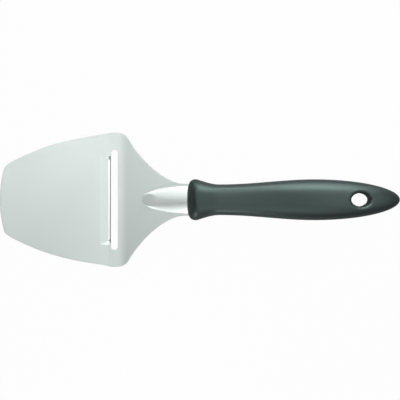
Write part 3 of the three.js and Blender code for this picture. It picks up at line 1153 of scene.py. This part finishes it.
    def cut_slot(
        self,
        shape: bmesh.types.BMesh,
        nodes: dict[tuple[int, int], bmesh.types.BMVert],
        lead: int,
        rows: list[float],
        columns: list[float],
    ) -> None:
        """Cuts the slot with its rounded corners out of the grid.

        Args:
            shape: The grid.
            nodes: Its vertices by row and column.
            lead: Number of rows at the tip.
            rows: Places of the rows behind the tip.
            columns: Places of the columns.
        """
        half = self.slot_length / 2
        front, back = self.slot_rows()[0], self.slot_rows()[-1]
        first = lead + rows.index(front)
        last = lead + len(rows) - 1 - rows[::-1].index(back)
        for sign in (1, -1):
            end = min(range(len(columns)), key=lambda j: abs(columns[j] - sign * half))
            for start, step in ((first, 1), (last, -1)):
                for k in range(self.corner_steps):
                    a = nodes[start + step * k, end - sign * (self.corner_steps - k)]
                    b = nodes[start + step * (k + 1), end - sign * (self.corner_steps - k - 1)]
                    bmesh.ops.connect_verts(shape, verts=[a, b])
        gone = []
        for face in shape.faces:
            centre = face.calc_center_median()
            if not (front < centre.x < back and abs(centre.y) < half):
                continue
            dx = max(front + self.slot_corner - centre.x, centre.x - back + self.slot_corner, 0.0)
            dy = max(abs(centre.y) - half + self.slot_corner, 0.0)
            if math.hypot(dx, dy) < self.slot_corner:
                gone.append(face)
        bmesh.ops.delete(shape, geom=gone, context="FACES")

    def thicken(self, shape: bmesh.types.BMesh) -> None:
        """Gives the sheet its thickness below the top face, then grinds the cutting edge from above.

        Args:
            shape: The pressed top face.
        """
        shape.normal_update()
        if sum(face.normal.z for face in shape.faces) < 0:
            bmesh.ops.reverse_faces(shape, faces=shape.faces)
        bmesh.ops.solidify(shape, geom=shape.faces[:], thickness=self.sheet)
        fall = self.lip_drop / self.lip_length
        for vert in shape.verts:
            x, y, _ = vert.co
            along = self.grind_x - NEAR < x <= self.edge_x + self.edge_margin
            across = abs(y) <= self.lip_edge_width / 2 + self.side_margin
            if not (along and across and self.on_top(vert.co)):
                continue
            face = self.lip_drop + self.sheet - fall * (x - self.hinge_x)
            if x <= self.steep_x + NEAR:
                vert.co.z = face - self.grind_depth * (x - self.grind_x) / (self.steep_x - self.grind_x)
            else:
                vert.co.z = face - self.sheet + self.edge_left
        self.run_out(shape)

    def run_out(self, shape: bmesh.types.BMesh) -> None:
        """Lets the steep grind run out into the gussets, where it is widest half way.

        Args:
            shape: The thick blade, with its cutting edge ground.
        """
        for vert in shape.verts:
            x, y, _ = vert.co
            past = (abs(y) - self.lip_edge_width / 2) / self.runout_reach
            if not (self.runout_start < past < 1 and self.on_top(vert.co)):
                continue
            width = self.edge_width + (self.runout_width - self.edge_width) * (1 - abs(2 * past - 1))
            start = self.edge_x - width
            if start < x <= self.edge_x + self.edge_margin:
                vert.co.z -= (self.sheet - self.edge_left) * min(1.0, (x - start) / width)

    def mark_finishes(self, shape: bmesh.types.BMesh) -> None:
        """Sets the wide ground strip apart, and the rib and the gussets, which the press burnished; both
        finishes have a lighter steel colour, which is painted highlight.

        Args:
            shape: The thick blade.
        """
        edge = self.lip_edge_width / 2
        shape.normal_update()
        for face in shape.faces:
            x, y, _ = face.calc_center_median()
            gusset = self.gusset_share(y)
            if self.grind_x < x < self.steep_x and abs(y) < edge and face.normal.z > 0:
                # the ground strip takes a lighter steel colour, which is painted highlight
                face.material_index = SteelFinish.GROUND.value
            # the rib and gussets take a lighter steel colour, which is painted highlight
            elif self.rib(x, y) > self.rib_fillet:
                face.material_index = SteelFinish.BURNISHED.value
            elif x < self.edge_x and 0 < gusset < min(1.0, (x - self.hinge_x) / self.lip_length):
                face.material_index = SteelFinish.BURNISHED.value

    def round_rims(self, shape: bmesh.types.BMesh) -> None:
        """Breaks the sharp rims that the press leaves, apart from the cutting edge.

        Args:
            shape: The thick blade.
        """
        rims = []
        for edge in shape.edges:
            if len(edge.link_faces) != 2 or edge.calc_face_angle(0.0) < math.radians(self.rim_deg):
                continue
            middle = (edge.verts[0].co + edge.verts[1].co) / 2
            near_edge = abs(middle.x - self.edge_x) < self.edge_keep
            on_edge = near_edge and abs(middle.y) < self.lip_root_width / 2
            if not on_edge:
                rims.append(edge)
        bmesh.ops.bevel(
            shape,
            geom=rims,
            offset=self.rim_round,
            offset_type="OFFSET",
            segments=2,
            profile=0.5,
            affect="EDGES",
            material=-1,
            clamp_overlap=False,
        )

    def map_brushing(self, shape: bmesh.types.BMesh) -> None:
        """Lays a map whose first axis runs across the brush lines.

        Args:
            shape: The finished blade, in millimetres.
        """
        layer = shape.loops.layers.uv.new(BrushedSteel().brush_map)
        for face in shape.faces:
            for loop in face.loops:
                x, y, z = loop.vert.co * MM
                loop[layer].uv = (y + z * self.map_lean, x + z * self.map_lean)

    def dress(self, piece: bpy.types.Object, finishes: dict[SteelFinish, BrushedSteel]) -> None:
        """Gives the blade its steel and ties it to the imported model.

        Args:
            piece: The finished blade.
            finishes: The steel of each finish.
        """
        for finish in SteelFinish:
            piece.data.materials.append(finishes[finish].material())
        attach(piece, "root")
        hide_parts(Node.BLADE.value)


@dataclass(frozen=True)
class Softbox:
    """One soft lamp of the studio, aimed at a point, with its sizes in metres."""

    name: str
    place: tuple[float, float, float]
    aim: tuple[float, float, float]
    size: tuple[float, float]
    level: float  # brightness of its face, where 1 is white

    def build(self) -> None:
        """Hangs the lamp."""
        data = bpy.data.lights.new(self.name, "AREA")
        data.shape = "RECTANGLE"
        data.size, data.size_y = self.size
        data.energy = self.level * math.pi * self.size[0] * self.size[1]
        lamp = bpy.data.objects.new(self.name, data)
        lamp.location = self.place
        lamp.rotation_euler = (Vector(self.aim) - Vector(self.place)).to_track_quat("-Z", "Y").to_euler()
        lamp.visible_camera = False
        bpy.context.scene.collection.objects.link(lamp)


@dataclass
class Studio:
    """White paper floor, soft light and the camera straight above the slicer, with sizes in metres."""

    camera_height: float = 2.4
    view_width: float = 0.24
    sensor: float = 36.0  # millimetres, as the lens
    floor_size: float = 6.0
    floor_drop: float = 0.0003
    camera_shift_y: float = -0.00015
    sky_colour: str = "#F6FFFC"
    sky_level: float = 0.03

    def build(self) -> None:
        """Sets the floor, the lamps, the sky and the camera."""
        self.build_floor()
        self.build_sky()
        self.build_camera()
        blade = (-0.1, 0.0, 0.0)
        neck = (-0.02, 0.0, 0.012)
        handle = (0.08, 0.0, 0.0)
        lamps = [
            Softbox("blade_over", (-0.1, 0.0, 0.45), blade, (0.3, 0.3), 1.1),
            Softbox("blade_rim", (-0.09, 0.05, 0.12), (-0.09, 0.035, 0.0), (0.16, 0.04), 2.4),
            Softbox("blade_key", (-0.1, 0.42, 0.16), blade, (0.4, 0.25), 0.98),
            Softbox("blade_fill", (-0.1, -0.25, 0.08), blade, (0.3, 0.1), 0.9),
            Softbox("lip_key", (0.011, 0.075, 0.111), (-0.06, 0.02, 0.0), (0.06, 0.05), 1.9),
            Softbox("neck_key", (-0.02, 0.12, 0.08), neck, (0.08, 0.04), 1.0),
            Softbox("neck_fill", (-0.02, -0.12, 0.06), neck, (0.08, 0.04), 3.0),
            Softbox("tip_key", (-0.25, 0.3, 0.1), (-0.05, 0.0, 0.0), (0.3, 0.16), 2.4),
            Softbox("tip_fill", (-0.25, -0.3, 0.1), (-0.05, 0.0, 0.0), (0.3, 0.16), 2.3),
            Softbox("handle_over", (0.18, 0.0, 0.45), (-0.02, 0.0, 0.0), (0.3, 0.25), 0.29),
            Softbox("handle_key", (0.12, 0.25, 0.1), handle, (0.3, 0.12), 2.2),
            Softbox("handle_edge", (0.14, 0.13, 0.13), (0.1, 0.0, 0.01), (0.16, 0.06), 4.2),
            Softbox("handle_crown", (0.12, 0.065, 0.105), (0.11, 0.0, 0.005), (0.12, 0.03), 2.6),
            Softbox("handle_fill", (0.14, -0.28, 0.38), handle, (0.4, 0.25), 0.9),
            Softbox("end_over", (0.42, 0.0, 0.42), handle, (0.3, 0.25), 1.1),
        ]
        for lamp in lamps:
            lamp.build()
        bpy.context.scene.view_settings.view_transform = "Standard"

    def build_floor(self) -> None:
        """Lays the paper just under the table plane."""
        shape = bmesh.new()
        bmesh.ops.create_grid(shape, x_segments=1, y_segments=1, size=self.floor_size / 2 / MM)
        bmesh.ops.translate(shape, vec=(0, 0, -self.floor_drop / MM), verts=shape.verts)
        floor = finish_mesh(shape, "studio_floor", SMOOTH_DEG)
        floor.data.materials.append(PaperFloor().material())

    def build_sky(self) -> None:
        """Lights the slicer faintly from all round."""
        world = bpy.data.worlds.new("studio_sky")
        world.use_nodes = True
        tree = world.node_tree
        tree.nodes.clear()
        sky = add_node(
            tree, "ShaderNodeBackground", {"Color": linear(self.sky_colour), "Strength": self.sky_level}
        )
        add_node(tree, "ShaderNodeOutputWorld", {"Surface": sky.outputs[0]})
        bpy.context.scene.world = world

    def build_camera(self) -> None:
        """Hangs the camera over the middle of the slicer, looking straight down."""
        data = bpy.data.cameras.new("top_camera")
        data.sensor_width = self.sensor
        data.lens = self.sensor * self.camera_height / self.view_width
        camera = bpy.data.objects.new("top_camera", data)
        camera.location = (0.0, self.camera_shift_y, self.camera_height)
        bpy.context.scene.collection.objects.link(camera)
        bpy.context.scene.camera = camera


def dress_core(finish: MouldedPlastic) -> None:
    """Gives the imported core, hidden in the grip, its own plastic.

    Args:
        finish: The core's plastic.
    """
    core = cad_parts[Node.CORE.value]
    core.data.materials.clear()
    core.data.materials.append(finish.material())


def main() -> None:
    """Builds the studio and the slicer's pieces in order."""
    logging.basicConfig(level=logging.INFO, format="%(name)s: %(message)s")
    Studio().build()
    LOG.info("studio ready")
    grip = Grip()
    moulding = grip.build()
    # the dome in front of the collar's crest gets the painted shade colour
    grain_start_shade_end = grip.front_x + grip.dome - grip.grain_shade_lead
    grip.dress(moulding, MouldedPlastic("matte_grip_plastic", "#2F3636", grain_start_shade_end=grain_start_shade_end))
    LOG.info("%s: %d faces", moulding.name, len(moulding.data.polygons))
    blade = Blade()
    blade.place_on(grip)
    sheet = blade.build()
    finishes = {
        SteelFinish.BRUSHED: BrushedSteel(),
        # the ground strip's finer finish is real, and its lighter steel colour is painted highlight
        SteelFinish.GROUND: BrushedSteel("ground_stainless_painted_highlight", "#F2F7F5", roughness=0.45),
        # the burnished rib and gussets are smoother steel, and their lighter colour is painted highlight
        SteelFinish.BURNISHED: BrushedSteel("burnished_stainless_painted_highlight", "#E8F0ED", roughness=0.39),
    }
    blade.dress(sheet, finishes)
    LOG.info("%s: %d faces", sheet.name, len(sheet.data.polygons))
    dress_core(MouldedPlastic("plain_core_plastic", "#39423F", roughness=0.6))
    LOG.info("%s kept", Node.CORE.value)


if __name__ == "__main__":
    main()
